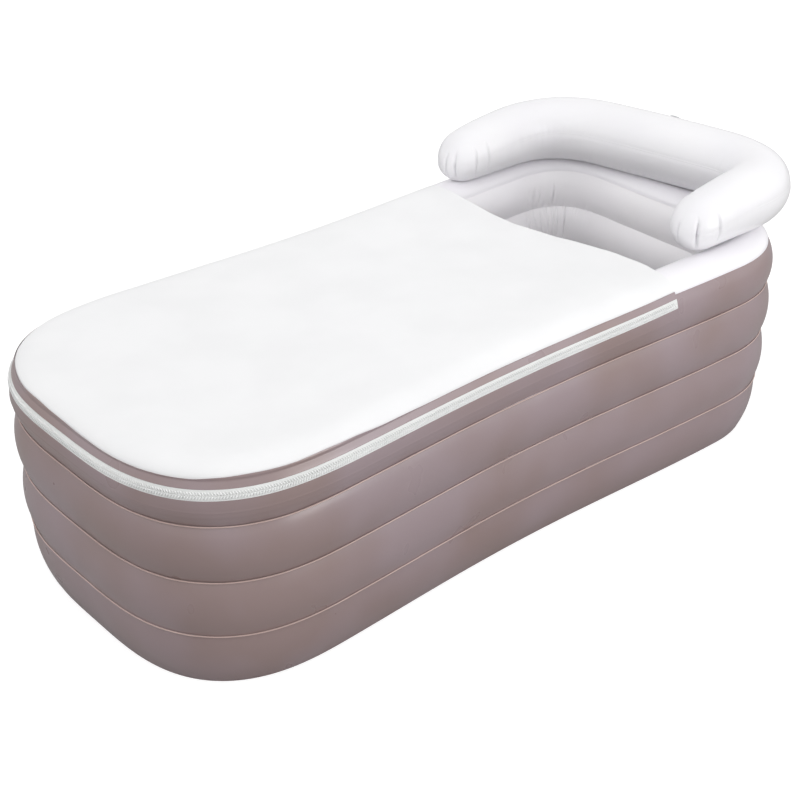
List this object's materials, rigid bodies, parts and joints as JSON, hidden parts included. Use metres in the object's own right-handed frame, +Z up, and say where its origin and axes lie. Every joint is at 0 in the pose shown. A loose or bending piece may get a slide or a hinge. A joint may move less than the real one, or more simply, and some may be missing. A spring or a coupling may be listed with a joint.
{
  "type": "inflatable bathtub",
  "caption": "Free-standing inflatable bath with stacked air tiers, an inflated floor, a zip-off cover sheet, a horseshoe headrest, air valves and a capped drain.",
  "frame": {"origin": "on the floor under the middle of the tub", "axes": "+Z up, +X towards the head end with the headrest, -Y towards the near side"},
  "size_m": [1.6814, 0.763, 0.5955],
  "materials": {
    "taupe_film": "soft satin film, air-filled",
    "white_film": "glossy soft film, air-filled",
    "white_sheet": "matt coated sheet",
    "peach_weld": "thin welded seam",
    "zip_tape": "woven zip tape",
    "zip_coil": "moulded zip coil",
    "zip_metal": "nickel-coloured metal",
    "clear_plastic": "milky clear soft plastic",
    "white_plastic": "moulded plastic",
    "grey_plastic": "moulded plastic"
  },
  "bodies": {
    "tub": {"base_film": "taupe_film", "drain_outlet": "white_plastic", "drain_pipe": "white_plastic", "drain_strap": "grey_plastic", "floor_film": "white_film", "floor_valve_base": "clear_plastic", "floor_valve_strap": "clear_plastic", "headrest_lower_film": "white_film", "headrest_upper_film": "white_film", "headrest_valve_base": "clear_plastic", "headrest_valve_strap": "clear_plastic", "inner_wall_film": "white_film", "outer_wall_film": "taupe_film", "rim_film": "white_film", "wall_valve_base": "clear_plastic", "wall_valve_strap": "clear_plastic", "web_1": "white_film", "web_2": "white_film", "web_3": "white_film", "weld_line_1": "peach_weld", "weld_line_2": "peach_weld", "weld_line_3": "peach_weld", "zip_carrier": "taupe_film", "zip_coil_lower": "zip_coil", "zip_stop_far": "zip_coil", "zip_stop_near": "zip_coil", "zip_tape_lower": "zip_tape"},
    "cover": {"cover_sheet": "white_sheet", "cover_border": "taupe_film", "zip_tape_upper": "zip_tape", "zip_coil_upper": "zip_coil"},
    "slider": {"zip_slider": "zip_metal"},
    "pull": {"zip_pull": "zip_metal"},
    "wall_stopper": {"wall_valve_stopper": "clear_plastic"},
    "floor_stopper": {"floor_valve_stopper": "clear_plastic"},
    "headrest_stopper": {"headrest_valve_stopper": "clear_plastic"},
    "outlet_cap": {"drain_cap": "grey_plastic"},
    "plug": {"drain_plug": "grey_plastic"}
  },
  "joints": [
    {"name": "cover_lift", "type": "slide", "parent": "tub", "child": "cover", "axis": [0, 0, 1], "range_m": [0, 0.3]},
    {"name": "zip_slide", "type": "slide", "parent": "tub", "child": "slider", "axis": [-0.999, -0.045, 0], "range_m": [0, 0.2]},
    {"name": "pull_swing", "type": "hinge", "parent": "slider", "child": "pull", "pos_m": [0.32222, 0.37589, 0.40808], "axis": [0.999, 0.045, 0], "range_deg": [0, 150]},
    {"name": "wall_stopper_pull", "type": "slide", "parent": "tub", "child": "wall_stopper", "axis": [1, 0, 0], "range_m": [0, 0.02]},
    {"name": "floor_stopper_pull", "type": "slide", "parent": "tub", "child": "floor_stopper", "axis": [0, 0, 1], "range_m": [0, 0.02]},
    {"name": "headrest_stopper_pull", "type": "slide", "parent": "tub", "child": "headrest_stopper", "axis": [0.6938, 0.1366, 0.7071], "range_m": [0, 0.02]},
    {"name": "cap_pull", "type": "slide", "parent": "tub", "child": "outlet_cap", "axis": [1, 0, 0], "range_m": [0, 0.03]},
    {"name": "plug_pull", "type": "slide", "parent": "tub", "child": "plug", "axis": [-1, 0, 0], "range_m": [0, 0.03]}
  ]
}
